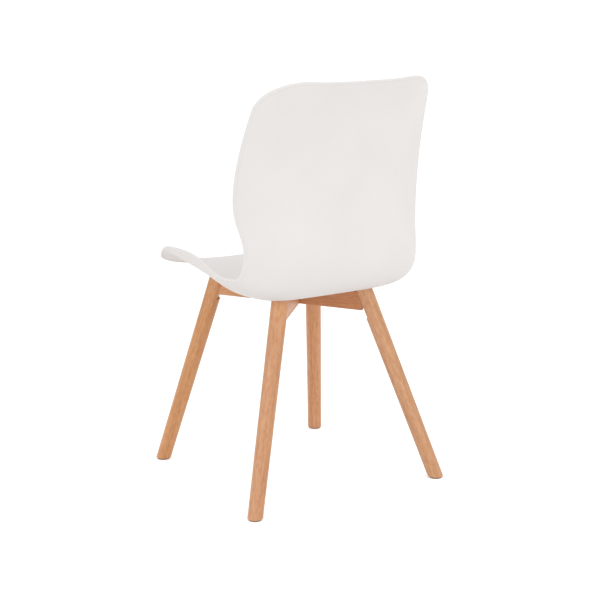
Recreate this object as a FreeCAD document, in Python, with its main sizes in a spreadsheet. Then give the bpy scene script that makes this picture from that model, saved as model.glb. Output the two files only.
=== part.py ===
"""Armless shell chair: one moulded plastic seat-and-back shell on a crossed beech frame with four
splayed round legs.

Millimetres, +Z up. The floor is z = 0, the sitter faces -Y, the sitter's left is +X, and the chair
is symmetric about x = 0 apart from the half-lap where the two rails cross. The origin is on the
floor under the middle of the chair's box.
"""

import FreeCAD, Part

import math
import os

Vector = FreeCAD.Vector
Placement = FreeCAD.Placement
Rotation = FreeCAD.Rotation

# Driving dimensions: alias, value in millimetres, what it is
SIZES = [
    ("wall", 5.0, "thickness of the moulded shell"),
    ("front_corner_length", 20.0, "front corner of the shell, along the profile"),
    ("front_corner_width", 88.0, "front corner of the shell, across"),
    ("top_corner_length", 72.0, "top corner of the back, along the profile"),
    ("top_corner_width", 83.0, "top corner of the back, across"),
    ("boss_dia", 20.0, "moulded boss round each insert"),
    ("foot_half_front", 197.8, "half spacing of the front feet"),
    ("foot_y_front", -222.0, "front feet, fore and aft"),
    ("foot_half_rear", 222.5, "half spacing of the rear feet"),
    ("foot_y_rear", 197.6, "rear feet, fore and aft"),
    ("joint_half_front", 117.5, "half spacing of the front legs' axes at the rails' tops"),
    ("joint_y_front", -110.9, "front legs' axes at the rails' tops, fore and aft"),
    ("joint_z_front", 418.0, "tops of the rails at the front legs' axes"),
    ("joint_half_rear", 102.6, "half spacing of the rear legs' axes at the rails' tops"),
    ("joint_y_rear", 101.2, "rear legs' axes at the rails' tops, fore and aft"),
    ("joint_z_rear", 397.2, "tops of the rails at the rear legs' axes"),
    ("leg_foot_dia", 30.5, "leg at the floor"),
    ("leg_joint_dia", 34.5, "leg at the rail"),
    ("leg_flat_depth", 5.0, "flat milled on the leg's inner side for the rail's end"),
    ("leg_flat_run_front", 11.0, "how far a front leg's flat runs down below the rail"),
    ("leg_flat_run_rear", 19.0, "how far a rear leg's flat runs down below the rail"),
    ("leg_top_gap", 1.5, "between a leg's bevelled top and the shell over it"),
    ("foot_chamfer", 1.5, "broken edge round the foot"),
    ("rail_height", 40.0, "height of a rail"),
    ("rail_width", 24.0, "thickness of a rail"),
    ("rail_edge_round", 2.0, "rounded long edges of a rail"),
    ("dowel_dia", 8.0, "beech dowel in each leg joint"),
    ("dowel_length", 28.0, "length of a dowel"),
    ("dowel_spacing", 17.0, "between the two dowels of a joint"),
    ("fit", 0.1, "radial clearance of dowels, inserts, nails and screws in their holes"),
    ("screw_reach_front", 110.0, "front shell screws from the middle of the cross, along the rail"),
    ("screw_reach_rear", 84.0, "rear shell screws from the middle of the cross, along the rail"),
    ("screw_dia", 6.0, "shell screw shank"),
    ("screw_head_dia", 10.0, "shell screw head"),
    ("screw_head_height", 5.0, "height of that head"),
    ("screw_socket", 5.0, "hexagon socket of the shell screw, across flats"),
    ("counterbore_dia", 15.0, "sunk seat under each rail for washer and head"),
    ("counterbore_depth", 9.0, "depth of that seat"),
    ("washer_dia", 14.0, "washer under the screw head"),
    ("washer_thickness", 1.5, "thickness of that washer"),
    ("pad_dia", 20.0, "rubber pad between rail and boss"),
    ("pad_thickness", 1.0, "thickness of that pad"),
    ("insert_dia", 9.0, "threaded brass insert"),
    ("insert_length", 5.5, "length of the insert"),
    ("lap_screw_dia", 4.5, "wood screw through the crossing of the rails"),
    ("lap_screw_length", 32.0, "length of that screw"),
    ("lap_screw_head_dia", 9.0, "countersunk head of that screw"),
    ("glide_dia", 26.0, "plastic glide under a foot"),
    ("glide_height", 2.0, "thickness of a glide"),
    ("nail_dia", 2.4, "nail of a glide"),
    ("nail_length", 16.0, "length of that nail over its head"),
    ("nail_head_dia", 7.0, "head of the nail"),
    ("nail_head_height", 0.8, "height of that head"),
    ("nail_sink", 0.4, "how far the nail's head sits above the floor"),
]

# Cross-sections of the shell from the front lip to the top of the back. Each has its place on the
# centre line (y, z), its half width, how far its sides rise out of the centre line, how late across
# the width that curl begins (a power: more is flatter in the middle) and the angle at which the
# sides rise, in degrees: 0 is straight up and 90 is straight forward.
STATIONS = [
    ("lip", -235.2, 418.0, 182.5, 16.0, 2.2, 51.0),
    ("nose", -206.2, 430.0, 192.0, 30.0, 3.3, 35.0),
    ("crown", -155.2, 435.0, 209.0, 45.0, 5.8, 3.0),
    ("thigh", -68.2, 424.0, 209.0, 58.0, 7.8, -9.6),
    ("seat_middle", 16.8, 411.0, 212.0, 52.0, 7.1, -7.0),
    ("seat_rear", 107.8, 408.0, 218.0, 52.0, 5.8, 11.0),
    ("bend", 162.8, 423.0, 213.7, 58.1, 5.8, 46.0),
    ("lumbar", 192.0, 511.0, 205.1, 61.6, 4.8, 78.5),
    ("mid_back", 183.1, 584.0, 216.0, 65.8, 4.1, 90.7),
    ("upper_back", 191.9, 691.0, 214.2, 59.9, 3.3, 81.5),
    ("top", 239.4, 839.0, 194.8, 48.2, 3.4, 68.8),
]
STATION_FIELDS = ("y", "z", "half_width", "rise", "curl", "lean")

SIDES = (("left", 1), ("right", -1))
ENDS = ("front", "rear")

# Blocks that cut legs and rails, as a multiple of a leg's thickness
CUTTER_SHARE = 4

# Sampling of the shell's two skins: rows along the profile, and shares of the half width
PROFILE_ROWS = 27
WIDTH_SHARES = (0.0, 0.2, 0.4, 0.55, 0.68, 0.79, 0.88, 0.95, 1.0)
# Sampling of the shell's outline: points along each side, round each corner and across each end
SIDE_POINTS = 24
CORNER_POINTS = 7
END_POINTS = 4
PROBE = 0.5


doc = FreeCAD.newDocument("shell_chair")


def make_sheet():
    """Spreadsheet with every driving dimension under its alias."""
    sheet = doc.addObject("Spreadsheet::Sheet", "Sizes")
    row = 1
    for alias, value, meaning in SIZES:
        sheet.set("A%d" % row, meaning)
        sheet.set("B%d" % row, str(value))
        sheet.setAlias("B%d" % row, alias)
        row += 1
    for name, *values in STATIONS:
        for field, value in zip(STATION_FIELDS, values):
            sheet.set("A%d" % row, "shell section %s, %s" % (name, field))
            sheet.set("B%d" % row, str(value))
            sheet.setAlias("B%d" % row, "%s_%s" % (name, field))
            row += 1
    doc.recompute()
    return sheet


sheet = make_sheet()


def size(alias):
    return float(sheet.get(alias))


def bind(obj, **expressions):
    """Bind properties of a document object to the sheet."""
    for prop, expression in expressions.items():
        obj.setExpression(prop, expression)
    return obj


def cylinder(name, radius, height, placement):
    obj = doc.addObject("Part::Cylinder", name)
    bind(obj, Radius=radius, Height=height)
    obj.Placement = placement
    return obj


def cut(name, base, tools):
    """Base with every tool taken out of it."""
    for number, tool in enumerate(tools):
        obj = doc.addObject("Part::Cut", "%s_cut_%d" % (name, number))
        obj.Base = base
        obj.Tool = tool
        base = obj
    return base


def gather(name, objects):
    """One node that holds several separate solids."""
    obj = doc.addObject("Part::Compound", name)
    obj.Links = objects
    return obj


def finish(obj, label):
    obj.Label = label
    nodes.append(obj)
    return obj


nodes = []


# Frame geometry: where the rails cross, the tilted plane they lie in, and each leg's own axes

def joint_point(end, side):
    return Vector(side * size("joint_half_" + end), size("joint_y_" + end), size("joint_z_" + end))


def foot_point(end, side):
    return Vector(side * size("foot_half_" + end), size("foot_y_" + end), 0)


def frame_placement():
    """Local axes of the crossed rails: origin on their tops at the crossing, Z square to the tops."""
    front, rear = joint_point("front", 1), joint_point("rear", -1)
    share = front.x / (front.x - rear.x)
    crossing = front + (rear - front) * share
    tilt = math.degrees(math.atan2(rear.z - front.z, rear.y - front.y))
    return Placement(crossing, Rotation(Vector(1, 0, 0), tilt))


frame = frame_placement()


def rail_direction(end, side):
    """Unit vector along a rail from the crossing to a leg, in the rails' own plane."""
    local = frame.inverse().multVec(joint_point(end, side))
    return Vector(local.x, local.y, 0).normalize()


def on_rail(end, side, reach, height):
    """Placement on a rail, at a reach from the crossing and a height over the rail's top."""
    spot = rail_direction(end, side) * reach + Vector(0, 0, height)
    return Placement(frame.multVec(spot), frame.Rotation)


def leg_placement(end, side):
    """Local axes of a leg: origin at the floor, Z up its axis, X out along its rail."""
    foot, joint = foot_point(end, side), joint_point(end, side)
    axis = (joint - foot).normalize()
    outward = frame.Rotation.multVec(rail_direction(end, side))
    return Placement(foot, Rotation(outward, Vector(0, 0, 0), axis, "ZXY"))


def leg_length(end):
    """Along a leg's axis from the floor to the rails' tops."""
    return (joint_point(end, 1) - foot_point(end, 1)).Length


def up_leg(end, depth):
    """How far up a leg a level of the rail, at a depth below its top, meets the leg's milled flat."""
    inverse = leg_placement(end, 1).inverse()
    inner = inverse.multVec(on_rail(end, 1, 0, -depth).Base)
    outer = inverse.multVec(on_rail(end, 1, leg_length(end), -depth).Base)
    share = (-flat_offset() - inner.x) / (outer.x - inner.x)
    return inner.z + (outer.z - inner.z) * share


# Shell

def shell_curves():
    """Centre line with the sides' lean, and half width, rise and curl, over the profile's length."""
    marks = [0.0]
    rows = [[size("%s_%s" % (name, field)) for field in STATION_FIELDS] for name, *_ in STATIONS]
    for before, after in zip(rows, rows[1:]):
        marks.append(marks[-1] + math.hypot(after[0] - before[0], after[1] - before[1]))
    profile, spread = Part.BSplineCurve(), Part.BSplineCurve()
    profile.interpolate(Points=[Vector(row[5], row[0], row[1]) for row in rows], Parameters=marks)
    spread.interpolate(Points=[Vector(*row[2:5]) for row in rows], Parameters=marks)
    return profile, spread, marks[-1]


profile, spread, profile_length = shell_curves()


def half_width(along):
    return spread.value(along).x


def middle_point(along, across):
    """Point on the middle of the shell's wall."""
    centre, section = profile.value(along), spread.value(along)
    lean = math.radians(centre.x)
    lift = section.y * (abs(across) / section.x) ** section.z
    return Vector(across, centre.y - math.sin(lean) * lift, centre.z + math.cos(lean) * lift)


def wall_normal(along, across):
    """Unit normal of the wall, towards the sitter."""
    ahead = middle_point(min(along + PROBE, profile_length), across)
    behind = middle_point(max(along - PROBE, 0), across)
    sideways = middle_point(along, across + PROBE) - middle_point(along, across - PROBE)
    return sideways.cross(ahead - behind).normalize()


def wall_point(along, across, depth):
    """Point of the wall at a depth from its middle, towards the sitter."""
    return middle_point(along, across) + wall_normal(along, across) * depth


def skin(depth):
    """Smooth surface through the sections at one depth of the wall."""
    shares = [-share for share in WIDTH_SHARES[:0:-1]] + list(WIDTH_SHARES)
    rows = []
    for number in range(PROFILE_ROWS):
        along = profile_length * number / (PROFILE_ROWS - 1)
        rows.append([wall_point(along, half_width(along) * share, depth) for share in shares])
    surface = Part.BSplineSurface()
    surface.interpolate(rows)
    return surface


def outline_points():
    """The shell's outline as (along, across) pairs, once round."""
    front_length, front_width = size("front_corner_length"), size("front_corner_width")
    top_length, top_width = size("top_corner_length"), size("top_corner_width")
    side = []
    for number in range(CORNER_POINTS):
        angle = math.pi / 2 * number / CORNER_POINTS
        along = front_length * (1 - math.cos(angle))
        side.append((along, half_width(along) - front_width * (1 - math.sin(angle))))
    straight = profile_length - front_length - top_length
    for number in range(SIDE_POINTS):
        along = front_length + straight * number / SIDE_POINTS
        side.append((along, half_width(along)))
    for number in range(CORNER_POINTS + 1):
        angle = math.pi / 2 * number / CORNER_POINTS
        along = profile_length - top_length * (1 - math.sin(angle))
        side.append((along, half_width(along) - top_width * (1 - math.cos(angle))))
    shares = [1 - 2 * number / (END_POINTS + 1) for number in range(1, END_POINTS + 1)]
    top = [(profile_length, side[-1][1] * share) for share in shares]
    front = [(0.0, -side[0][1] * share) for share in shares]
    return side + top + [(along, -across) for along, across in reversed(side)] + front


def trimmed_skin(depth):
    """Skin inside the outline, and its closed edge."""
    surface = skin(depth)
    marks = [surface.parameter(wall_point(along, across, depth)) for along, across in outline_points()]
    curve = Part.Geom2d.BSplineCurve2d()
    curve.interpolate([FreeCAD.Base.Vector2d(*mark) for mark in marks], PeriodicFlag=True)
    edge = curve.toShape(surface)
    face = Part.Face(surface, Part.Wire([edge]))
    face.validate()
    return face, edge


def shell_wall():
    """The moulded sheet: two skins and the edge between them."""
    lower, lower_edge = trimmed_skin(-size("wall") / 2)
    upper, upper_edge = trimmed_skin(size("wall") / 2)
    pairs = [(lower_edge, upper_edge), (lower_edge, upper_edge.reversed())]
    rim = min((Part.makeRuledSurface(*pair) for pair in pairs), key=lambda face: face.Area)
    shell = Part.makeShell([lower, upper, rim])
    shell.sewShape()
    return Part.Solid(shell)


def screw_reach(end):
    return size("screw_reach_" + end)


def boss_seat(end, side):
    """Where a boss meets its rubber pad, on top of a rail."""
    return on_rail(end, side, screw_reach(end), size("pad_thickness"))


def build_shell():
    wall = shell_wall()
    under = skin(0).toShape().extrude(Vector(0, 0, -size("rail_height")))
    bosses, bores = [], []
    for end in ENDS:
        for _, side in SIDES:
            seat = boss_seat(end, side)
            boss = Part.makeCylinder(size("boss_dia") / 2, size("rail_height"))
            bore = Part.makeCylinder(size("insert_dia") / 2 + size("fit"), size("insert_length"))
            boss.Placement = seat
            bore.Placement = seat
            bosses.append(boss.common(under))
            bores.append(bore)
    shape = wall.fuse(bosses).cut(bores)
    obj = doc.addObject("Part::Feature", "SeatShell")
    obj.Shape = shape.Solids[0]
    return finish(obj, "seat_shell")


# Crossed rails

def rail_body(name, side):
    """Bar along one diagonal of the frame, from the front leg on this side to the rear leg opposite."""
    front, rear = rail_direction("front", side), rail_direction("rear", -side)
    bar = doc.addObject("Part::Box", name + "_bar")
    reach = (joint_point("front", side) - joint_point("rear", -side)).Length
    angle = math.degrees(math.atan2(front.y - rear.y, front.x - rear.x))
    bind(bar, Width="Sizes.rail_width", Height="Sizes.rail_height")
    bar.Length = reach
    turn = Placement(Vector(), Rotation(Vector(0, 0, 1), angle))
    rear_end = Vector((joint_point("rear", -side) - frame.Base).Length * -1,
                      -size("rail_width") / 2, -size("rail_height"))
    bar.Placement = frame * turn * Placement(rear_end, Rotation())
    doc.recompute()
    rounded = doc.addObject("Part::Fillet", name + "_rounded")
    rounded.Base = bar
    radius = size("rail_edge_round")
    rounded.Edges = [(number, radius, radius) for number, edge in enumerate(bar.Shape.Edges, 1)
                     if edge.Length > reach - radius]
    return rounded, turn


def cutter():
    return CUTTER_SHARE * size("leg_joint_dia")


def cutting_block(name, place, corner):
    """Cube that cuts everything on one side of a plane; its lowest corner is given in place's axes."""
    block = doc.addObject("Part::Box", name)
    edge = "%d * Sizes.leg_joint_dia" % CUTTER_SHARE
    bind(block, Length=edge, Width=edge, Height=edge)
    block.Placement = place * Placement(corner, Rotation())
    return block


def end_block(name, end, side):
    """Everything outward of a leg's milled flat: mitres the rail's end."""
    middle = up_leg(end, size("rail_height") / 2)
    corner = Vector(-flat_offset(), -cutter() / 2, middle - cutter() / 2)
    return cutting_block(name, leg_placement(end, side), corner)


def flat_offset():
    """From a leg's axis to its milled flat."""
    return size("leg_joint_dia") / 2 - size("leg_flat_depth")


def lap_notch(name, turn, above):
    """Half of the other rail, to be taken out of this one at the crossing."""
    notch = doc.addObject("Part::Box", name)
    bind(notch, Length="Sizes.rail_width + 2 * Sizes.fit",
         Width="%d * Sizes.leg_joint_dia" % CUTTER_SHARE, Height="Sizes.rail_height")
    corner = Vector(-size("rail_width") / 2 - size("fit"), -cutter() / 2,
                    size("rail_height") * (-0.5 if above else -1.5))
    quarter = Placement(Vector(), Rotation(Vector(0, 0, 1), 90))
    notch.Placement = frame * turn * quarter * Placement(corner, Rotation())
    return notch


def build_rails():
    bars = {side: rail_body("Rail_" + word, side) for word, side in SIDES}
    for word, side in SIDES:
        bar, _ = bars[side]
        other_turn = bars[-side][1]
        name = "Rail_" + word
        tools = [lap_notch(name + "_lap", other_turn, side > 0),
                 end_block(name + "_front_end", "front", side),
                 end_block(name + "_rear_end", "rear", -side)]
        for end, at in (("front", side), ("rear", -side)):
            tools += screw_hole(name + "_" + end, end, at)
            tools += dowels(name + "_" + end, end, at, "Sizes.dowel_dia / 2 + Sizes.fit")
        tools += lap_screw_hole(name)
        finish(cut(name, bar, tools), "cross_rail_front_" + word)


def screw_hole(name, end, side):
    """Clearance hole and counterbore for a shell screw, from below the rail."""
    bottom = on_rail(end, side, screw_reach(end), -size("rail_height"))
    hole = cylinder(name + "_screw_hole", "Sizes.screw_dia / 2 + Sizes.fit * 2",
                    "Sizes.rail_height", bottom)
    seat = cylinder(name + "_counterbore", "Sizes.counterbore_dia / 2",
                    "Sizes.counterbore_depth", bottom)
    return [hole, seat]


def dowels(name, end, side, radius):
    """Two cylinders square to a leg's flat, half in the leg and half in the rail."""
    pair = []
    for sign in (-1, 1):
        start = Vector(-flat_offset() - size("dowel_length") / 2, 0,
                       up_leg(end, size("rail_height") / 2) + sign * size("dowel_spacing") / 2)
        along = Rotation(Vector(0, 1, 0), 90)
        spot = leg_placement(end, side) * Placement(start, along)
        label = "%s_dowel_%s" % (name, "upper" if sign > 0 else "lower")
        pair.append(cylinder(label, radius, "Sizes.dowel_length", spot))
    return pair


# Legs

def build_leg(end, word, side):
    name = "Leg_%s_%s" % (end, word)
    place = leg_placement(end, side)
    length = leg_length(end)
    spare = size("leg_joint_dia")
    taper = (size("leg_joint_dia") - size("leg_foot_dia")) / 2 / length
    turned = doc.addObject("Part::Cone", name + "_turned")
    turned.Radius1 = size("leg_foot_dia") / 2 - taper * spare
    turned.Radius2 = size("leg_joint_dia") / 2 + taper * spare
    turned.Height = length + 2 * spare
    turned.Placement = place * Placement(Vector(0, 0, -spare), Rotation())
    tools = [floor_block(name + "_floor", place), top_block(name + "_top", end, side),
             flat_block(name + "_flat", end, place)]
    tools += dowels(name, end, side, "Sizes.dowel_dia / 2 + Sizes.fit")
    tools.append(nail_hole(name + "_nail_hole", end, side))
    leg = cut(name, turned, tools)
    doc.recompute()
    foot = doc.addObject("Part::Chamfer", name + "_foot")
    foot.Base = leg
    sole = size("glide_height")
    edge_size = size("foot_chamfer")
    foot.Edges = [(number, edge_size, edge_size) for number, edge in enumerate(leg.Shape.Edges, 1)
                  if edge.Length > size("leg_foot_dia")
                  and max(abs(vertex.Point.z - sole) for vertex in edge.Vertexes) < size("fit")]
    return finish(foot, "leg_%s_%s" % (end, word))


def floor_block(name, place):
    """Cuts a foot level, one glide's thickness above the floor."""
    foot = Placement(Vector(place.Base.x, place.Base.y, size("glide_height")), Rotation())
    return cutting_block(name, foot, Vector(-cutter() / 2, -cutter() / 2, -cutter()))


def top_block(name, end, side):
    """Bevels a leg's top parallel to the shell over it, a small gap below."""
    joint, foot = joint_point(end, side), foot_point(end, side)
    axis = Part.LineSegment(joint, joint + (joint - foot).normalize() * cutter()).toShape()
    underside = skin(-size("wall") / 2)
    meeting = underside.toShape().distToShape(axis)[1][0][0]
    normal = underside.normal(*underside.parameter(meeting))
    if normal.z < 0:
        normal = normal * -1
    bevel = Placement(meeting - normal * size("leg_top_gap"), Rotation(Vector(0, 0, 1), normal))
    return cutting_block(name, bevel, Vector(-cutter() / 2, -cutter() / 2, 0))


def flat_block(name, end, place):
    """Mills the seat of the rail's end on the leg's inner side."""
    bottom = up_leg(end, size("rail_height")) - size("leg_flat_run_" + end)
    return cutting_block(name, place, Vector(-flat_offset() - cutter(), -cutter() / 2, bottom))


# Small parts

def under_foot(end, side, height):
    """Under the middle of a foot's cut face, at a height above the floor."""
    foot, joint = foot_point(end, side), joint_point(end, side)
    centre = foot + (joint - foot) * (size("glide_height") / joint.z)
    return Placement(Vector(centre.x, centre.y, height), Rotation())


def nail_hole(name, end, side):
    return cylinder(name, "Sizes.nail_dia / 2 + Sizes.fit", "Sizes.nail_length",
                    under_foot(end, side, size("nail_sink")))


def build_glides():
    nails = []
    for end in ENDS:
        for word, side in SIDES:
            name = "Glide_%s_%s" % (end, word)
            disc = cylinder(name + "_disc", "Sizes.glide_dia / 2", "Sizes.glide_height",
                            under_foot(end, side, 0))
            hole = cylinder(name + "_hole", "Sizes.nail_dia / 2 + Sizes.fit", "Sizes.glide_height",
                            under_foot(end, side, 0))
            sink = cylinder(name + "_sink", "Sizes.nail_head_dia / 2 + Sizes.fit",
                            "Sizes.nail_sink + Sizes.nail_head_height",
                            under_foot(end, side, 0))
            finish(cut(name, disc, [hole, sink]), "glide_%s_%s" % (end, word))
            shank = cylinder(name + "_nail_shank", "Sizes.nail_dia / 2",
                             "Sizes.nail_length", under_foot(end, side, size("nail_sink")))
            head = cylinder(name + "_nail_head", "Sizes.nail_head_dia / 2",
                            "Sizes.nail_head_height", under_foot(end, side, size("nail_sink")))
            nail = doc.addObject("Part::Fuse", name + "_nail")
            nail.Base = shank
            nail.Tool = head
            nails.append(nail)
    finish(gather("Nails", nails), "glide_nails")


def build_dowels():
    every = []
    for end in ENDS:
        for word, side in SIDES:
            every += dowels("Joint_%s_%s" % (end, word), end, side, "Sizes.dowel_dia / 2")
    finish(gather("Dowels", every), "joint_dowels")


def build_shell_fixings():
    screws, washers, inserts = [], [], []
    for end in ENDS:
        for word, side in SIDES:
            name = "Fixing_%s_%s" % (end, word)
            reach = screw_reach(end)
            rail_top = on_rail(end, side, reach, 0)
            below = on_rail(end, side, reach, size("counterbore_depth") - size("rail_height")
                            - size("washer_thickness"))
            pad = cylinder(name + "_pad_disc", "Sizes.pad_dia / 2", "Sizes.pad_thickness", rail_top)
            pad_hole = cylinder(name + "_pad_hole", "Sizes.screw_dia / 2 + Sizes.fit",
                                "Sizes.pad_thickness", rail_top)
            finish(cut(name + "_pad", pad, [pad_hole]), "shell_pad_%s_%s" % (end, word))
            washer = cylinder(name + "_washer_disc", "Sizes.washer_dia / 2",
                              "Sizes.washer_thickness", below)
            washer_hole = cylinder(name + "_washer_hole", "Sizes.screw_dia / 2 + Sizes.fit",
                                   "Sizes.washer_thickness", below)
            washers.append(cut(name + "_washer", washer, [washer_hole]))
            screws.append(shell_screw(name, end, side, reach, below))
            boss = boss_seat(end, side)
            insert = cylinder(name + "_insert_body", "Sizes.insert_dia / 2", "Sizes.insert_length", boss)
            thread = cylinder(name + "_insert_bore", "Sizes.screw_dia / 2 + Sizes.fit",
                              "Sizes.insert_length", boss)
            inserts.append(cut(name + "_insert", insert, [thread]))
    finish(gather("Screws", screws), "shell_screws")
    finish(gather("Washers", washers), "shell_washers")
    finish(gather("Inserts", inserts), "shell_inserts")


def shell_screw(name, end, side, reach, below):
    """Socket head screw from below the rail into the insert in the shell."""
    shank = cylinder(name + "_shank", "Sizes.screw_dia / 2",
                     "Sizes.washer_thickness + Sizes.rail_height - Sizes.counterbore_depth"
                     " + Sizes.pad_thickness + Sizes.insert_length - 2 * Sizes.fit", below)
    low = on_rail(end, side, reach, size("counterbore_depth") - size("rail_height")
                  - size("washer_thickness") - size("screw_head_height"))
    head = cylinder(name + "_head", "Sizes.screw_head_dia / 2", "Sizes.screw_head_height", low)
    socket = doc.addObject("Part::Prism", name + "_socket")
    socket.Polygon = 6
    bind(socket, Circumradius="Sizes.screw_socket / sqrt(3)", Height="Sizes.screw_head_height / 2")
    socket.Placement = low
    whole = doc.addObject("Part::Fuse", name + "_screw")
    whole.Base = shank
    whole.Tool = head
    return cut(name + "_screw_socketed", whole, [socket])


def lap_screw_parts(name, radius, head_radius):
    """Shank and countersunk head of the wood screw, from below the crossing."""
    bottom = frame * Placement(Vector(0, 0, -size("rail_height")), Rotation())
    shank = cylinder(name + "_shank", radius, "Sizes.lap_screw_length", bottom)
    head = doc.addObject("Part::Cone", name + "_head")
    bind(head, Radius1=head_radius, Radius2=radius,
         Height="(Sizes.lap_screw_head_dia - Sizes.lap_screw_dia) / 2")
    head.Placement = bottom
    return [shank, head]


def lap_screw_hole(name):
    return lap_screw_parts(name + "_lap_screw", "Sizes.lap_screw_dia / 2 + Sizes.fit",
                           "Sizes.lap_screw_head_dia / 2 + Sizes.fit")


def build_lap_screw():
    shank, head = lap_screw_parts("LapScrew", "Sizes.lap_screw_dia / 2",
                                  "Sizes.lap_screw_head_dia / 2")
    screw = doc.addObject("Part::Fuse", "LapScrew")
    screw.Base = shank
    screw.Tool = head
    finish(screw, "lap_screw")


build_shell()
build_rails()
for leg_end in ENDS:
    for leg_word, leg_side in SIDES:
        build_leg(leg_end, leg_word, leg_side)
build_dowels()
build_shell_fixings()
build_lap_screw()
build_glides()
doc.recompute()

for obj in doc.Objects:
    if "Invalid" in obj.State or "Error" in obj.State:
        raise RuntimeError("%s failed: %s" % (obj.Name, obj.State))
for obj in nodes:
    if obj.Shape.isNull() or not obj.Shape.isValid():
        raise RuntimeError("%s has no valid shape" % obj.Label)

os.makedirs("parts", exist_ok=True)
for obj in nodes:
    obj.Shape.exportStep("parts/%s.step" % obj.Label)
    box = obj.Shape.BoundBox
    print("%-24s solids %d  volume %9.0f  y %7.1f %7.1f  z %6.1f %6.1f" % (
        obj.Label, len(obj.Shape.Solids), obj.Shape.Volume, box.YMin, box.YMax, box.ZMin, box.ZMax))
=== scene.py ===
"""Looks of the moulded shell chair: shell surface, materials, camera, floor and light.

Metres, +Z up, the sitter faces -Y and has +X on the left. Lengths written in millimetres say so.
"""

import math

import bpy
import numpy as np
from mathutils import Euler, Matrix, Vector


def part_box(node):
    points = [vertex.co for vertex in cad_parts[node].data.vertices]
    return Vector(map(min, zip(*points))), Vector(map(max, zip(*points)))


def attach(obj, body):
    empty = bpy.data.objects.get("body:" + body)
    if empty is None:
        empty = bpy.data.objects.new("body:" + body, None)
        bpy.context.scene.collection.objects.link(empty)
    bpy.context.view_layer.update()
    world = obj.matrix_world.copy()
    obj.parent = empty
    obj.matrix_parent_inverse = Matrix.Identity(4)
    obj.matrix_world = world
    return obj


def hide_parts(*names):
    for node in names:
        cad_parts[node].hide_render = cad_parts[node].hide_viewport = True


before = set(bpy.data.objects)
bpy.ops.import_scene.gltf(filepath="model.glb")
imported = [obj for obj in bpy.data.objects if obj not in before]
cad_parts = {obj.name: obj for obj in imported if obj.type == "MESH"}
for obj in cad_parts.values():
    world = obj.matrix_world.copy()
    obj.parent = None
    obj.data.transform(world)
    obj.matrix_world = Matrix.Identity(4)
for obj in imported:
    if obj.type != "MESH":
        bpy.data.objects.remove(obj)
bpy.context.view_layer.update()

MM = 0.001

ENDS = ("front", "rear")
SIDES = ("left", "right")

# Shell sections from the front lip to the top of the back, in millimetres and degrees: place on the
# centre line (y, z), half width, how far the sides rise, how late across the width the curl begins,
# and the angle at which the sides rise (0 is straight up, 90 is straight forward)
SECTIONS = {
    "lip": (-235.2, 418.0, 182.5, 16.0, 2.2, 51.0),
    "nose": (-206.2, 430.0, 192.0, 30.0, 3.3, 35.0),
    "crown": (-155.2, 435.0, 209.0, 45.0, 5.8, 3.0),
    "thigh": (-68.2, 424.0, 209.0, 58.0, 7.8, -9.6),
    "seat_middle": (16.8, 411.0, 212.0, 52.0, 7.1, -7.0),
    "seat_rear": (107.8, 408.0, 218.0, 52.0, 5.8, 11.0),
    "bend": (162.8, 423.0, 213.7, 58.1, 5.8, 46.0),
    "lumbar": (192.0, 511.0, 205.1, 61.6, 4.8, 78.5),
    "mid_back": (183.1, 584.0, 216.0, 65.8, 4.1, 90.7),
    "upper_back": (191.9, 691.0, 214.2, 59.9, 3.3, 81.5),
    "top": (239.4, 839.0, 194.8, 48.2, 3.4, 68.8),
}

# Shell, in millimetres: its wall, the quarter ellipses of its corners (length along the centre line
# and width across it), and half the step over which the wall's normal is measured
WALL = 5.0
FRONT_CORNER_LENGTH = 20.0
FRONT_CORNER_WIDTH = 88.0
TOP_CORNER_LENGTH = 72.0
TOP_CORNER_WIDTH = 83.0
NORMAL_PROBE = 0.5

# Rim, in millimetres: how far in from the outline its rounding starts on the outer and on the
# sitter's side, how far its crest lies from the middle of the wall towards the sitter, its
# squareness (2 is round), and the shallow groove along the start of the outer rounding
RIM_OUTER = 3.4
RIM_INNER = 2.0
RIM_CREST = 0.6
RIM_POWER = 2.2
RIM_STEPS = 14
GROOVE_WIDTH = 2.4
GROOVE_DEPTH = 0.7

# Mesh density of the shell
CORNER_ROWS = 18
SIDE_ROWS = 150
COLUMNS = 150

# Bosses under the seat that hold the inserts, in millimetres: the flare starts at least so far above
# the pad, bends at a share of its size and ends inside the wall, by the overlap
BOSS_RADIUS = 10.0
BOSS_BEVEL = 0.6
BOSS_FLARE = 3.5
BOSS_FLARE_LOWEST = 0.8
BOSS_FLARE_BEND = 0.3
BOSS_OVERLAP = 0.8
BOSS_SEGMENTS = 48
BOSS_PLACES_TRIED = 1500
PAD_THICKNESS = 1.0

# Where the grain of legs and rails runs: about half a leg's thickness, in metres, and how much of its
# box's height a rail drops towards the rear
LEG_RADIUS = 0.017
RAIL_DROP = 0.25

# Part of a noise's range that holds most of its values
NOISE_LOW = 0.3
NOISE_HIGH = 0.7

# Shell plastic: darker and lighter tone, spans of roughness, repeats per metre of the tone and of the
# moulded texture, and the texture's bump (distance, strength)
SHELL_TONES = ((0.800, 0.770, 0.750), (0.830, 0.800, 0.780))
SHELL_ROUGHNESS = (0.50, 0.60)
SHELL_SPECULAR = 0.35
SHELL_CLOUDS = 7.0
SHELL_TEXTURE = 1400.0
SHELL_BUMP = (0.0002, 0.25)

# Beech's layers of grain: repeats per metre across and along it, detail and roughness of the noise
GRAIN = {
    "bands": (48.0, 2.5, 3.0, 0.55),
    "streaks": (260.0, 9.0, 4.0, 0.62),
    "fibres": (900.0, 40.0, 3.0, 0.6),
    "flecks": (560.0, 95.0, 1.0, 0.4),
    "mottle": (230.0, 70.0, 2.0, 0.5),
}
BEECH_SHADES = [(0.30, (0.640, 0.315, 0.145)), (0.50, (0.715, 0.365, 0.180)),
                (0.70, (0.765, 0.400, 0.220))]

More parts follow.
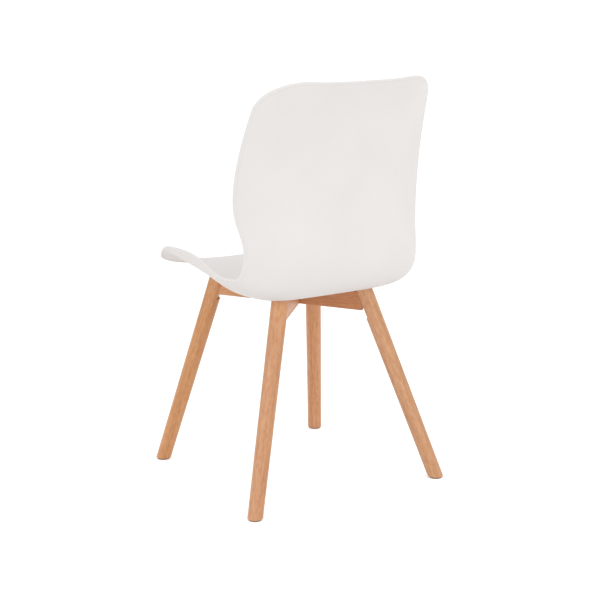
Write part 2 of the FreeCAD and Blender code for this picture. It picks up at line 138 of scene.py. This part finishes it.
# How strongly a layer tints the wood, and its tints over the noise's range
LAYER_TINTS = {
    "streaks": (0.85, [(0.30, (0.84, 0.76, 0.70)), (0.50, (0.98, 0.97, 0.95)),
                       (0.70, (1.06, 1.06, 1.04))]),
    "fibres": (0.6, [(0.25, (0.88, 0.86, 0.84)), (0.75, (1.0, 1.0, 1.0))]),
    "mottle": (0.8, [(0.34, (0.93, 0.83, 0.75)), (0.5, (1.0, 1.0, 1.0)),
                     (0.66, (1.05, 1.11, 1.14))]),
}
FLECK_COLOUR = (0.42, 0.19, 0.08)
FLECK_SPAN = (0.60, 0.72, 0.0, 0.32)

# Lacquered and raw beech: roughness at the fibres' low and high values
LACQUER_ROUGHNESS = (0.46, 0.36)
RAW_ROUGHNESS = (0.62, 0.52)
BEECH_SPECULAR = 0.4
LACQUER_COAT = 0.12
LACQUER_COAT_ROUGHNESS = 0.35
BEECH_BUMP = (0.0002, 0.3)

# Direction in which the noise is shifted from one wooden piece to the next, and the shifts
SHIFT_DIRECTION = (1.0, 0.7, 1.3)
LEG_SHIFT = 0.37
RAIL_SHIFT = 2.1
DOWEL_SHIFT = 3.3

# Each wooden piece's tint; the front-left rail's dark tint is painted shade under the shell, and the
# rear-left leg's tint, kept off its top, leaves that top lighter as painted light
WOOD_TINTS_AND_SHADE = {
    "leg_front_left": (0.94, 0.90, 0.79),
    "leg_rear_left": (0.89, 0.88, 0.88),
    "leg_front_right": (0.99, 0.95, 0.94),
    "leg_rear_right": (0.93, 0.97, 1.02),
    "cross_rail_front_left": (0.80, 0.65, 0.55),
    "cross_rail_front_right": (0.96, 0.89, 0.83),
}

# Painted shade along the grain: distances in metres where a piece's tint is nought and where it is
# full, so the front-left rail darkens past its front end and the rear-left leg's top stays lighter;
# pieces that aren't named have the tint all over
PAINTED_SHADE_FADES = {"cross_rail_front_left": (0.03, 0.11), "leg_rear_left": (0.41, 0.34)}
NO_FADE = (-1.0, 0.0)

# Painted shade between pieces: wood darkens where another piece nearly touches it, by ambient
# occlusion: how far off that shows, the shade's tint, and how open the surface is to its neighbours
# where the shade is full and where it is gone
CONTACT_SHADE_REACH = 0.006
CONTACT_SHADE_TONE = (0.58, 0.46, 0.38)
CONTACT_SHADE_OPENNESS = (0.40, 0.80)

# Metals: colour and roughness, repeats per metre of the tool marks and of the tone, the darker tone's
# share of the colour, the spread of roughness, and the bump
ZINC = ((0.62, 0.63, 0.64), 0.32)
BRASS = ((0.72, 0.56, 0.28), 0.30)
METAL_MARKS = 1800.0
METAL_CLOUDS = 160.0
METAL_DARKER = 0.85
METAL_SPREAD = (-0.06, 0.08)
METAL_BUMP = (0.00005, 0.3)

# Polymers: darker and lighter tone, roughness, and repeats per metre of their grain
RUBBER = ((0.02, 0.02, 0.02), (0.045, 0.045, 0.045), 0.75, 900.0)
NYLON = ((0.20, 0.140, 0.100), (0.28, 0.200, 0.145), 0.5, 700.0)
POLYMER_SPREAD = 0.05
POLYMER_BUMP = (0.0001, 0.3)

# Camera, from the photograph's perspective
CAMERA_PLACE = (1.685, 2.5848, 1.097)
CAMERA_PITCH = 76.75
CAMERA_YAW = 146.72
CAMERA_LENS = 92.0
CAMERA_SENSOR = 36.0

# Light: the even dome, the soft lamps (place, target, size, watts), and the floor's half width, its
# grey, and the glow that turns it white for the camera
DOME_STRENGTH = 0.85
LAMPS = {
    "key_light": ((-0.8, 2.8, 1.4), (0.0, 0.1, 0.45), 2.6, 15.8),
    "side_fill": ((3.0, 0.3, 0.9), (0.0, 0.0, 0.4), 2.0, 11.0),
    "top_light": ((0.6, 0.0, 3.2), (0.0, 0.0, 0.4), 2.5, 8.0),
}
FLOOR_HALF = 60.0
FLOOR_COLOUR = (0.86, 0.86, 0.86, 1)
FLOOR_ROUGHNESS = 0.9
FLOOR_GLOW = 0.45
WHITE = (1, 1, 1, 1)


# Shell surface

def natural_spline(marks, values):
    """Natural cubic spline through rows of values: a function of arrays of marks."""
    steps = np.diff(marks)
    count = len(marks)
    slopes = np.diff(values, axis=0) / steps[:, None]
    system = np.eye(count)
    right = np.zeros_like(values)
    for i in range(1, count - 1):
        system[i, i - 1:i + 2] = steps[i - 1], 2 * (steps[i - 1] + steps[i]), steps[i]
        right[i] = 6 * (slopes[i] - slopes[i - 1])
    bends = np.linalg.solve(system, right)

    def at(where):
        i = np.clip(np.searchsorted(marks, where) - 1, 0, count - 2)
        step = steps[i][..., None]
        before = (marks[i + 1] - where)[..., None] / step
        after = 1 - before
        curve = (before ** 3 - before) * bends[i] + (after ** 3 - after) * bends[i + 1]
        return before * values[i] + after * values[i + 1] + curve * step ** 2 / 6

    return at


section_rows = np.array(list(SECTIONS.values()))
chords = np.hypot(*np.diff(section_rows[:, :2], axis=0).T)
section_marks = np.concatenate([[0.0], np.cumsum(chords)])
profile_length = section_marks[-1]
sections = natural_spline(section_marks, section_rows)


def middle_points(along, across):
    """Points on the middle of the shell's wall, in millimetres."""
    y, z, half_width, rise, curl, lean = np.moveaxis(sections(along), -1, 0)
    lean = np.radians(lean)
    lift = rise * (np.abs(across) / half_width) ** curl
    return np.stack([across, y - np.sin(lean) * lift, z + np.cos(lean) * lift], -1)


def wall_normals(along, across):
    """Unit normals of the wall, towards the sitter."""
    ahead = middle_points(np.minimum(along + NORMAL_PROBE, profile_length), across)
    behind = middle_points(np.maximum(along - NORMAL_PROBE, 0), across)
    left, right = (middle_points(along, across + way * NORMAL_PROBE) for way in (1, -1))
    normal = np.cross(left - right, ahead - behind)
    return normal / np.linalg.norm(normal, axis=-1, keepdims=True)


def outline_rows():
    """Places along the profile and the outline's half width at each."""
    turn = np.linspace(0, math.pi / 2, CORNER_ROWS)
    front = FRONT_CORNER_LENGTH * (1 - np.cos(turn))
    front_drop = FRONT_CORNER_WIDTH * (1 - np.sin(turn))
    top = profile_length - TOP_CORNER_LENGTH * (1 - np.sin(turn))
    top_drop = TOP_CORNER_WIDTH * (1 - np.cos(turn))
    side = np.linspace(front[-1], top[0], SIDE_ROWS)[1:-1]
    along = np.concatenate([front, side, top])
    drop = np.concatenate([front_drop, np.zeros(len(side)), top_drop])
    return along, sections(along)[:, 2] - drop


def grid_faces(columns, rows, start, flip):
    """Quads of a grid of vertices that begins at index start."""
    faces = []
    for row in range(rows - 1):
        for column in range(columns - 1):
            first = start + row * columns + column
            quad = (first, first + 1, first + columns + 1, first + columns)
            faces.append(quad[::-1] if flip else quad)
    return faces


def rim_profile():
    """Rim's cross-section from the groove to the sitter's skin: (inset from the outline, height)."""
    half = WALL / 2
    points = [(RIM_OUTER + GROOVE_WIDTH / 2, -half + GROOVE_DEPTH)]
    for step in range(RIM_STEPS):
        angle = math.pi * step / RIM_STEPS
        outer = angle < math.pi / 2
        inset = RIM_OUTER if outer else RIM_INNER
        reach = half + RIM_CREST if outer else half - RIM_CREST
        out = math.sin(angle) ** (2 / RIM_POWER)
        up = math.copysign(abs(math.cos(angle)) ** (2 / RIM_POWER), -math.cos(angle))
        points.append((inset * (1 - out), RIM_CREST + up * reach))
    return points


def skin_points(along, edge, inset, depth):
    """Grid of points at one depth of the wall, inside the outline less an inset."""
    inner_along = inset + along * (profile_length - 2 * inset) / profile_length
    u = np.repeat(inner_along[:, None], COLUMNS, 1)
    x = (edge - inset)[:, None] * np.linspace(-1, 1, COLUMNS)[None, :]
    return (middle_points(u, x) + wall_normals(u, x) * depth).reshape(-1, 3)


def shell_mesh():
    """Vertices and faces of the moulded sheet, with a rounded rim."""
    along, edge = outline_rows()
    rows = len(along)
    index = np.arange(rows * COLUMNS).reshape(rows, COLUMNS)
    loop = np.concatenate([index[0, :-1], index[:-1, -1], index[-1, :0:-1], index[:0:-1, 0]])
    lower = skin_points(along, edge, RIM_OUTER + GROOVE_WIDTH, -WALL / 2)
    upper = skin_points(along, edge, RIM_INNER, WALL / 2)
    faces = grid_faces(COLUMNS, rows, 0, True) + grid_faces(COLUMNS, rows, len(lower), False)
    vertices, rings, total = [lower, upper], [loop], 2 * len(lower)
    for inset, height in rim_profile():
        vertices.append(skin_points(along, edge, inset, height)[loop])
        rings.append(np.arange(len(loop)) + total)
        total += len(loop)
    rings.append(loop + len(lower))
    for below, above in zip(rings, rings[1:]):
        for i in range(len(loop)):
            j = (i + 1) % len(loop)
            faces.append((above[j], above[i], below[i], below[j]))
    return np.concatenate(vertices), [tuple(int(v) for v in face) for face in faces]


def boss_reach(seat, lift):
    """From a boss's seat up to the underside of the wall, in millimetres."""
    along = np.linspace(0, profile_length, BOSS_PLACES_TRIED)
    across = np.full_like(along, abs(seat.x))
    under = middle_points(along, across) - wall_normals(along, across) * WALL / 2
    offset = under - np.array(seat)
    heights = offset @ np.array(lift)
    misses = np.linalg.norm(offset - heights[:, None] * np.array(lift), axis=-1)
    return float(heights[np.argmin(np.where(heights < 0, np.inf, misses))])


def boss_mesh(seat, lift):
    """Round boss from the rubber pad up into the seat, flared where it meets the wall."""
    side = lift.orthogonal().normalized()
    across = lift.cross(side)
    underside = boss_reach(seat, lift)
    bend = BOSS_FLARE * BOSS_FLARE_BEND
    profile = [(0, 0), (BOSS_RADIUS - BOSS_BEVEL, 0), (BOSS_RADIUS, BOSS_BEVEL),
               (BOSS_RADIUS, max(underside - BOSS_FLARE, BOSS_FLARE_LOWEST)),
               (BOSS_RADIUS + bend, underside - bend),
               (BOSS_RADIUS + BOSS_FLARE, underside + BOSS_OVERLAP)]
    vertices, faces = [], []
    for radius, height in profile:
        for i in range(BOSS_SEGMENTS):
            angle = 2 * math.pi * i / BOSS_SEGMENTS
            arm = (side * math.cos(angle) + across * math.sin(angle)) * radius
            vertices.append(seat + arm + lift * height)
    for ring in range(len(profile) - 1):
        for i in range(BOSS_SEGMENTS):
            j = (i + 1) % BOSS_SEGMENTS
            low, high = ring * BOSS_SEGMENTS, (ring + 1) * BOSS_SEGMENTS
            faces.append((low + i, low + j, high + j, high + i))
    return np.array(vertices), faces


def make_object(name, vertices, faces, material):
    """Smooth-shaded mesh object from vertices in millimetres."""
    mesh = bpy.data.meshes.new(name)
    mesh.from_pydata([tuple(v) for v in vertices * MM], [], faces)
    mesh.polygons.foreach_set("use_smooth", [True] * len(faces))
    mesh.materials.append(material)
    mesh.update()
    obj = bpy.data.objects.new(name, mesh)
    bpy.context.scene.collection.objects.link(obj)
    return obj


def rail_normal():
    """Unit vector square to the rails' tops, from the pads' heights."""
    front = sum(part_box("shell_pad_front_left"), Vector()) / 2
    rear = sum(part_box("shell_pad_rear_left"), Vector()) / 2
    return Vector((0, front.z - rear.z, rear.y - front.y)).normalized()


def build_shell(material):
    """The sheet that stands for the CAD shell, and its four bosses as one piece."""
    shell = make_object("moulded_shell", *shell_mesh(), material)
    lift = rail_normal()
    vertices, faces, total = [], [], 0
    for end in ENDS:
        for side in SIDES:
            low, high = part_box("shell_pad_%s_%s" % (end, side))
            seat = (low + high) / 2 / MM + lift * (PAD_THICKNESS / 2)
            points, quads = boss_mesh(seat, lift)
            vertices.append(points)
            faces += [tuple(v + total for v in quad) for quad in quads]
            total += len(points)
    bosses = make_object("shell_bosses", np.concatenate(vertices), faces, material)
    for piece in (shell, bosses):
        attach(piece, "root")
    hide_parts("seat_shell")


# Materials

def new_material(name):
    """A material with its nodes and links."""
    material = bpy.data.materials.new(name)
    material.use_nodes = True
    return material, material.node_tree.nodes, material.node_tree.links


def noise(nodes, links, coordinates, scale, detail=2.0, roughness=0.5):
    """Noise from 0 to 1."""
    node = nodes.new("ShaderNodeTexNoise")
    node.inputs["Scale"].default_value = scale
    node.inputs["Detail"].default_value = detail
    node.inputs["Roughness"].default_value = roughness
    links.new(coordinates, node.inputs["Vector"])
    return node.outputs["Fac"]


def ramp(nodes, links, factor, stops):
    """Colour from a factor, by stops (place, colour)."""
    node = nodes.new("ShaderNodeValToRGB")
    elements = node.color_ramp.elements
    while len(elements) < len(stops):
        elements.new(0.5)
    for element, (place, colour) in zip(elements, stops):
        element.position = place
        element.color = (*colour, 1)
    links.new(factor, node.inputs["Fac"])
    return node.outputs["Color"]


def span(nodes, links, value, low, high, to_low, to_high):
    """Value moved from one range to another, and kept inside it."""
    node = nodes.new("ShaderNodeMapRange")
    ends = {"From Min": low, "From Max": high, "To Min": to_low, "To Max": to_high}
    for socket, number in ends.items():
        node.inputs[socket].default_value = number
    links.new(value, node.inputs["Value"])
    return node.outputs["Result"]


def mix_colours(nodes, links, factor, first, second, blend="MIX"):
    """Mix of two colours, each a link or a plain colour."""
    node = nodes.new("ShaderNodeMix")
    node.data_type = "RGBA"
    node.blend_type = blend
    for value, socket in ((factor, 0), (first, 6), (second, 7)):
        if isinstance(value, float):
            node.inputs[socket].default_value = value
        elif isinstance(value, tuple):
            node.inputs[socket].default_value = (*value, 1)
        else:
            links.new(value, node.inputs[socket])
    return node.outputs[2]


def add_bump(nodes, links, shader, height, distance, strength):
    """Bump of the shader's surface from a height."""
    node = nodes.new("ShaderNodeBump")
    node.inputs["Distance"].default_value = distance
    node.inputs["Strength"].default_value = strength
    links.new(height, node.inputs["Height"])
    links.new(node.outputs["Normal"], shader.inputs["Normal"])


def object_coordinates(nodes):
    return nodes.new("ShaderNodeTexCoord").outputs["Object"]


def shell_plastic():
    """Warm off-white polypropylene with a fine spark-eroded texture."""
    material, nodes, links = new_material("shell_plastic_look")
    shader = nodes["Principled BSDF"]
    place = object_coordinates(nodes)
    clouds = noise(nodes, links, place, SHELL_CLOUDS, 3.0)
    links.new(ramp(nodes, links, clouds, list(zip((NOISE_LOW, NOISE_HIGH), SHELL_TONES))),
              shader.inputs["Base Color"])
    texture = noise(nodes, links, place, SHELL_TEXTURE, 2.0, 0.6)
    links.new(span(nodes, links, texture, NOISE_LOW, NOISE_HIGH, *SHELL_ROUGHNESS),
              shader.inputs["Roughness"])
    shader.inputs["Specular IOR Level"].default_value = SHELL_SPECULAR
    add_bump(nodes, links, shader, texture, *SHELL_BUMP)
    return material


def open_to_others(nodes, links):
    """How little other pieces close in on the surface: its openness divided by that to itself."""
    # The ratio is the mask of the painted shade where pieces meet
    ratio = nodes.new("ShaderNodeMath")
    ratio.operation = "DIVIDE"
    for socket, own_piece_only in zip(ratio.inputs, (False, True)):
        openness = nodes.new("ShaderNodeAmbientOcclusion")
        openness.only_local = own_piece_only
        openness.inputs["Distance"].default_value = CONTACT_SHADE_REACH
        links.new(openness.outputs["AO"], socket)
    return ratio.outputs["Value"]


def beech(name, start, end, shift, tint=(1.0, 1.0, 1.0), shade_fade=NO_FADE, raw=False):
    """Steamed beech with its grain along the line from start to end; tint is the piece's colour
    multiplier, which on some pieces is painted shade.

    The tint sets in between the two distances of fade, measured from the start: painted shade and
    light that change along the piece. Where other pieces close in, the wood darkens as painted shade.
    """
    material, nodes, links = new_material(name)
    shader = nodes["Principled BSDF"]
    mapping = nodes.new("ShaderNodeMapping")
    mapping.vector_type = "TEXTURE"
    mapping.inputs["Location"].default_value = start
    direction = (end - start).normalized()
    mapping.inputs["Rotation"].default_value = direction.to_track_quat("Z", "Y").to_euler()
    links.new(object_coordinates(nodes), mapping.inputs["Vector"])

    def grain(layer):
        across, length, detail, roughness = GRAIN[layer]
        node = nodes.new("ShaderNodeMapping")
        node.inputs["Scale"].default_value = (across, across, length)
        node.inputs["Location"].default_value = [shift * part for part in SHIFT_DIRECTION]
        links.new(mapping.outputs["Vector"], node.inputs["Vector"])
        return noise(nodes, links, node.outputs["Vector"], 1.0, detail, roughness)

    def tinted(under, layer, layer_grain):
        share, stops = LAYER_TINTS[layer]
        return mix_colours(nodes, links, share, under, ramp(nodes, links, layer_grain, stops),
                           "MULTIPLY")

    # The piece's tint, fading along the grain where a fade is given: painted shade on the front-left
    # rail and painted light at the rear-left leg's top
    distance = nodes.new("ShaderNodeSeparateXYZ")
    links.new(mapping.outputs["Vector"], distance.inputs["Vector"])
    tint_share = span(nodes, links, distance.outputs["Z"], *shade_fade, 0.0, 1.0)
    colour = ramp(nodes, links, grain("bands"), BEECH_SHADES)
    colour = mix_colours(nodes, links, tint_share, colour, tint, "MULTIPLY")
    fibres = grain("fibres")
    colour = tinted(colour, "streaks", grain("streaks"))
    colour = tinted(colour, "fibres", fibres)
    fleck_share = span(nodes, links, grain("flecks"), *FLECK_SPAN)
    colour = mix_colours(nodes, links, fleck_share, colour, FLECK_COLOUR)
    colour = tinted(colour, "mottle", grain("mottle"))
    # Painted shade: the wood darkens where other pieces close in on it
    contact_shade = span(nodes, links, open_to_others(nodes, links), *CONTACT_SHADE_OPENNESS, 1.0, 0.0)
    colour = mix_colours(nodes, links, contact_shade, colour, CONTACT_SHADE_TONE, "MULTIPLY")
    links.new(colour, shader.inputs["Base Color"])
    roughness = RAW_ROUGHNESS if raw else LACQUER_ROUGHNESS
    links.new(span(nodes, links, fibres, NOISE_LOW, NOISE_HIGH, *roughness),
              shader.inputs["Roughness"])
    shader.inputs["Specular IOR Level"].default_value = BEECH_SPECULAR
    if not raw:
        shader.inputs["Coat Weight"].default_value = LACQUER_COAT
        shader.inputs["Coat Roughness"].default_value = LACQUER_COAT_ROUGHNESS
    add_bump(nodes, links, shader, fibres, *BEECH_BUMP)
    return material


def metal(name, colour, roughness):
    """Plated or turned metal with fine tool marks."""
    material, nodes, links = new_material(name)
    shader = nodes["Principled BSDF"]
    place = object_coordinates(nodes)
    marks = noise(nodes, links, place, METAL_MARKS)
    darker = tuple(METAL_DARKER * part for part in colour)
    links.new(ramp(nodes, links, noise(nodes, links, place, METAL_CLOUDS),
                   [(NOISE_LOW, darker), (NOISE_HIGH, colour)]), shader.inputs["Base Color"])
    shader.inputs["Metallic"].default_value = 1.0
    low, high = (roughness + spread for spread in METAL_SPREAD)
    links.new(span(nodes, links, marks, NOISE_LOW, NOISE_HIGH, low, high),
              shader.inputs["Roughness"])
    add_bump(nodes, links, shader, marks, *METAL_BUMP)
    return material


def polymer(name, dark, light, roughness, grain):
    """Rubber or nylon with a slightly uneven, matt surface."""
    material, nodes, links = new_material(name)
    shader = nodes["Principled BSDF"]
    fine = noise(nodes, links, object_coordinates(nodes), grain, 3.0)
    links.new(ramp(nodes, links, fine, [(NOISE_LOW, dark), (NOISE_HIGH, light)]),
              shader.inputs["Base Color"])
    links.new(span(nodes, links, fine, NOISE_LOW, NOISE_HIGH,
                   roughness - POLYMER_SPREAD, roughness + POLYMER_SPREAD),
              shader.inputs["Roughness"])
    add_bump(nodes, links, shader, fine, *POLYMER_BUMP)
    return material


def dress(node, material):
    """Gives a node of the frame its material."""
    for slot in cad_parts[node].material_slots:
        slot.material = material


def dress_wood(node, look, start, end, shift):
    """Gives a leg or rail beech in its tint, some of it painted shade, with the grain from start to
    end.
    """
    dress(node, beech(look, start, end, shift, WOOD_TINTS_AND_SHADE[node], PAINTED_SHADE_FADES.get(node, NO_FADE)))


def leg_line(end, side):
    """Middle of a leg's foot, and about the middle of its top."""
    foot = sum(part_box("glide_%s_%s" % (end, side)), Vector()) / 2
    low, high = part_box("leg_%s_%s" % (end, side))
    inner_x = high.x if abs(low.x) > abs(high.x) else low.x
    inner_y = high.y if foot.y < 0 else low.y
    return foot, Vector((inner_x + math.copysign(LEG_RADIUS, foot.x),
                         inner_y + math.copysign(LEG_RADIUS, foot.y), high.z))


def rail_line(side):
    """Front and rear end of a rail's upper edge."""
    low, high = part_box("cross_rail_front_" + side)
    front_x, rear_x = (high.x, low.x) if side == "left" else (low.x, high.x)
    return (Vector((front_x, low.y, high.z)),
            Vector((rear_x, high.y, high.z - (high.z - low.z) * RAIL_DROP)))


def dress_frame():
    """Materials of the wooden frame and the small parts."""
    zinc = metal("zinc_plate_look", *ZINC)
    brass = metal("brass_look", *BRASS)
    rubber = polymer("rubber_look", *RUBBER)
    nylon = polymer("nylon_look", *NYLON)
    for number, (end, side) in enumerate((end, side) for end in ENDS for side in SIDES):
        leg = "leg_%s_%s" % (end, side)
        dress_wood(leg, leg + "_beech", *leg_line(end, side), LEG_SHIFT * number)
        dress("glide_%s_%s" % (end, side), nylon)
        dress("shell_pad_%s_%s" % (end, side), rubber)
    for number, side in enumerate(SIDES):
        dress_wood("cross_rail_front_" + side, "rail_%s_beech" % side, *rail_line(side),
                   RAIL_SHIFT + number)
    dress("joint_dowels", beech("dowel_beech", Vector(), Vector((1, 1, 0)), DOWEL_SHIFT, raw=True))
    for node in ("shell_screws", "shell_washers", "lap_screw", "glide_nails"):
        dress(node, zinc)
    dress("shell_inserts", brass)


# Camera, floor and light

def build_camera():
    """Camera at the photograph's viewing angle."""
    data = bpy.data.cameras.new("camera")
    data.sensor_width = CAMERA_SENSOR
    data.lens = CAMERA_LENS
    camera = bpy.data.objects.new("camera", data)
    camera.location = CAMERA_PLACE
    camera.rotation_euler = Euler((math.radians(CAMERA_PITCH), 0, math.radians(CAMERA_YAW)))
    bpy.context.scene.collection.objects.link(camera)
    bpy.context.scene.camera = camera


def seen_directly(nodes, links):
    """1 for rays from the camera or off a gloss or through glass, 0 for the light's own paths."""
    path = nodes.new("ShaderNodeLightPath")
    seen = path.outputs["Is Camera Ray"]
    for ray in ("Is Glossy Ray", "Is Transmission Ray"):
        either = nodes.new("ShaderNodeMath")
        either.operation = "MAXIMUM"
        links.new(seen, either.inputs[0])
        links.new(path.outputs[ray], either.inputs[1])
        seen = either.outputs[0]
    return seen


def build_floor():
    """Pale floor: white to the camera, and it keeps the chair's soft shadow."""
    half = FLOOR_HALF
    mesh = bpy.data.meshes.new("floor")
    corners = [(-half, -half, 0), (half, -half, 0), (half, half, 0), (-half, half, 0)]
    mesh.from_pydata(corners, [], [(0, 1, 2, 3)])
    material, nodes, links = new_material("floor_look")
    shader = nodes["Principled BSDF"]
    shader.inputs["Base Color"].default_value = FLOOR_COLOUR
    shader.inputs["Roughness"].default_value = FLOOR_ROUGHNESS
    shader.inputs["Specular IOR Level"].default_value = 0.0
    shader.inputs["Emission Color"].default_value = WHITE
    links.new(span(nodes, links, seen_directly(nodes, links), 0, 1, 0.0, FLOOR_GLOW),
              shader.inputs["Emission Strength"])
    mesh.materials.append(material)
    floor = bpy.data.objects.new("floor", mesh)
    bpy.context.scene.collection.objects.link(floor)


def build_world():
    """White surroundings for the camera and reflections, a soft even dome for the rest."""
    world = bpy.data.worlds.new("studio")
    bpy.context.scene.world = world
    world.use_nodes = True
    nodes, links = world.node_tree.nodes, world.node_tree.links
    background = nodes["Background"]
    background.inputs["Color"].default_value = WHITE
    links.new(span(nodes, links, seen_directly(nodes, links), 0, 1, DOME_STRENGTH, 1.0),
              background.inputs["Strength"])


def area_light(name, place, target, size, power):
    """Round soft lamp that the camera doesn't see."""
    data = bpy.data.lights.new(name, "AREA")
    data.shape = "DISK"
    data.size = size
    data.energy = power
    light = bpy.data.objects.new(name, data)
    light.location = place
    light.rotation_euler = (Vector(target) - Vector(place)).to_track_quat("-Z", "Y").to_euler()
    light.visible_camera = False
    bpy.context.scene.collection.objects.link(light)


build_shell(shell_plastic())
dress_frame()
build_camera()
build_floor()
build_world()
for lamp, (place, target, size, watts) in LAMPS.items():
    area_light(lamp, place, target, size, watts)
bpy.context.scene.view_settings.view_transform = "Standard"
